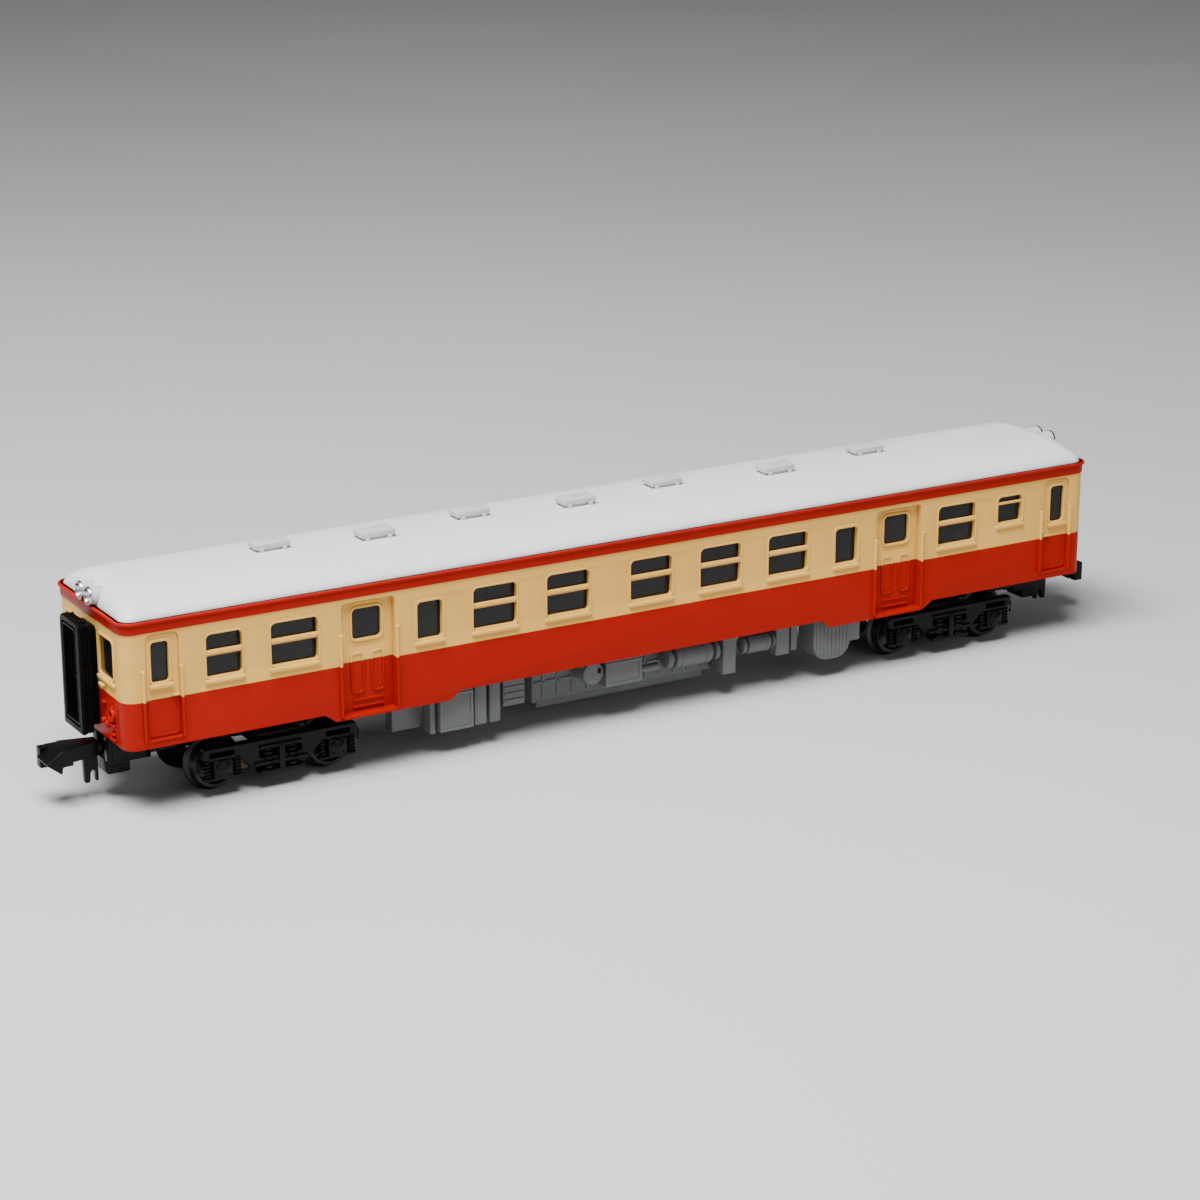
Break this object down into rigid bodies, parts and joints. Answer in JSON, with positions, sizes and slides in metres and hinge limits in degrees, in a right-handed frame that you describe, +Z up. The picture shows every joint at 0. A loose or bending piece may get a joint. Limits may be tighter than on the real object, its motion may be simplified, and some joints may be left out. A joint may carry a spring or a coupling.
{
  "type": "model passenger coach",
  "caption": "Small-scale double-cab passenger railcar model: painted body shell, light grey roof, gangways, glazed interior and swivelling bogies with hooked couplers.",
  "frame": {"origin": "midway between the couplers on the track centre line, at the height of the flange bottoms (0.6 mm below the rail head)", "axes": "+X from the front end to the rear end along the coach, +Y to the coach's right-hand side seen from above with the front to the left, +Z up"},
  "size_m": [0.143, 0.0194, 0.0262],
  "materials": {
    "shell_paint": "satin two-tone paint, cream above red, on moulded plastic",
    "roof_grey": "satin light grey",
    "clear_glazing": "clear gloss, moulded",
    "gangway_black": "gloss black",
    "lamp_silver": "silver paint",
    "clear_lens": "clear gloss",
    "led_white": "diffuse",
    "circuit_board": "satin green",
    "underframe_black": "matte black",
    "equipment_grey": "matte grey",
    "ballast_steel": "rolled",
    "phosphor_bronze": "rolled bright",
    "seat_blue": "matte blue",
    "bogie_black": "satin black",
    "axle_steel": "turned",
    "wheel_dark": "chemically blackened"
  },
  "bodies": {
    "coach": {"body_shell": "shell_paint", "roof": "roof_grey", "roof_vent_1": "roof_grey", "roof_vent_2": "roof_grey", "roof_vent_3": "roof_grey", "roof_vent_4": "roof_grey", "roof_vent_5": "roof_grey", "roof_vent_6": "roof_grey", "roof_vent_7": "roof_grey", "glazing_left": "clear_glazing", "glazing_right": "clear_glazing", "cab_glazing_front": "clear_glazing", "cab_glazing_rear": "clear_glazing", "gangway_front": "gangway_black", "gangway_rear": "gangway_black", "headlight_front": "lamp_silver", "headlight_rear": "lamp_silver", "light_guide_front": "clear_lens", "light_guide_rear": "clear_lens", "led_front": "led_white", "led_rear": "led_white", "light_board_front": "circuit_board", "light_board_rear": "circuit_board", "underframe": "underframe_black", "underfloor_equipment": "equipment_grey", "ballast_weight": "ballast_steel", "contact_strip_left": "phosphor_bronze", "contact_strip_right": "phosphor_bronze", "seat_unit": "seat_blue", "bogie_pin_front": "bogie_black", "bogie_pin_rear": "bogie_black"},
    "bogie_front": {"bogie_frame_front": "bogie_black", "contact_plate_front_left": "phosphor_bronze", "contact_plate_front_right": "phosphor_bronze"},
    "bogie_rear": {"bogie_frame_rear": "bogie_black", "contact_plate_rear_left": "phosphor_bronze", "contact_plate_rear_right": "phosphor_bronze"},
    "wheelset_1": {"axle_1": "axle_steel", "wheel_1_left": "wheel_dark", "wheel_1_right": "wheel_dark"},
    "wheelset_2": {"axle_2": "axle_steel", "wheel_2_left": "wheel_dark", "wheel_2_right": "wheel_dark"},
    "wheelset_3": {"axle_3": "axle_steel", "wheel_3_left": "wheel_dark", "wheel_3_right": "wheel_dark"},
    "wheelset_4": {"axle_4": "axle_steel", "wheel_4_left": "wheel_dark", "wheel_4_right": "wheel_dark"},
    "coupler_pivot_front": {"coupler_spring_front": "phosphor_bronze"},
    "coupler_hook_front": {"coupler_front": "bogie_black"},
    "coupler_pivot_rear": {"coupler_spring_rear": "phosphor_bronze"},
    "coupler_hook_rear": {"coupler_rear": "bogie_black"}
  },
  "joints": [
    {"name": "bogie_front_swivel", "type": "hinge", "parent": "coach", "child": "bogie_front", "pos_m": [-0.046, 0, 0.0066], "axis": [0, 0, 1], "range_deg": [-15, 15]},
    {"name": "bogie_rear_swivel", "type": "hinge", "parent": "coach", "child": "bogie_rear", "pos_m": [0.046, 0, 0.0066], "axis": [0, 0, 1], "range_deg": [-15, 15]},
    {"name": "wheelset_1_spin", "type": "hinge", "parent": "bogie_front", "child": "wheelset_1", "pos_m": [-0.053, 0, 0.0034], "axis": [0, 1, 0], "continuous": true},
    {"name": "wheelset_2_spin", "type": "hinge", "parent": "bogie_front", "child": "wheelset_2", "pos_m": [-0.039, 0, 0.0034], "axis": [0, 1, 0], "continuous": true},
    {"name": "wheelset_3_spin", "type": "hinge", "parent": "bogie_rear", "child": "wheelset_3", "pos_m": [0.039, 0, 0.0034], "axis": [0, 1, 0], "continuous": true},
    {"name": "wheelset_4_spin", "type": "hinge", "parent": "bogie_rear", "child": "wheelset_4", "pos_m": [0.053, 0, 0.0034], "axis": [0, 1, 0], "continuous": true},
    {"name": "coupler_front_swing", "type": "hinge", "parent": "bogie_front", "child": "coupler_pivot_front", "pos_m": [-0.0624, 0, 0.006], "axis": [0, 0, 1], "range_deg": [-10, 10], "stiffness_Nm_per_rad": 0.00002},
    {"name": "coupler_front_lift", "type": "hinge", "parent": "coupler_pivot_front", "child": "coupler_hook_front", "pos_m": [-0.0624, 0, 0.006], "axis": [0, 1, 0], "range_deg": [0, 10]},
    {"name": "coupler_rear_swing", "type": "hinge", "parent": "bogie_rear", "child": "coupler_pivot_rear", "pos_m": [0.0624, 0, 0.006], "axis": [0, 0, 1], "range_deg": [-10, 10], "stiffness_Nm_per_rad": 0.00002},
    {"name": "coupler_rear_lift", "type": "hinge", "parent": "coupler_pivot_rear", "child": "coupler_hook_rear", "pos_m": [0.0624, 0, 0.006], "axis": [0, -1, 0], "range_deg": [0, 10]}
  ]
}
